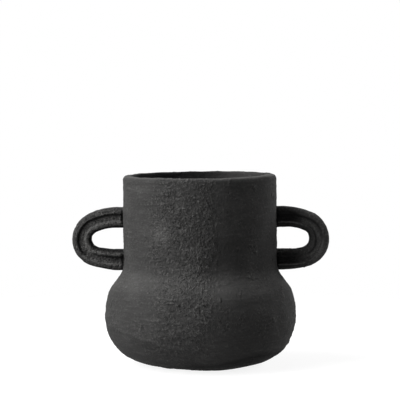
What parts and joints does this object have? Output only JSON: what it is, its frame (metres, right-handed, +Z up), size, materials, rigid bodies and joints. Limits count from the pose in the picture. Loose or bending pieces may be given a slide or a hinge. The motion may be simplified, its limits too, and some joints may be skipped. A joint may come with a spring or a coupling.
{
  "type": "decorative vase",
  "caption": "Low wide stoneware vase with a rounded belly, a sloping shoulder, a straight collar neck with a thick rounded lip, and channelled loop handles at its sides.",
  "frame": {"origin": "middle of the plane that the foot rests on", "axes": "+Z up through the mouth, +X along the line through both handles"},
  "size_m": [0.3, 0.2236, 0.2237],
  "materials": {
    "stoneware": "matte black, unglazed, sandy to the touch, with grog standing out of the surface"
  },
  "bodies": {
    "root": {"base": "stoneware", "belly": "stoneware", "shoulder": "stoneware", "neck": "stoneware", "handle_left": "stoneware", "handle_right": "stoneware"}
  },
  "joints": []
}
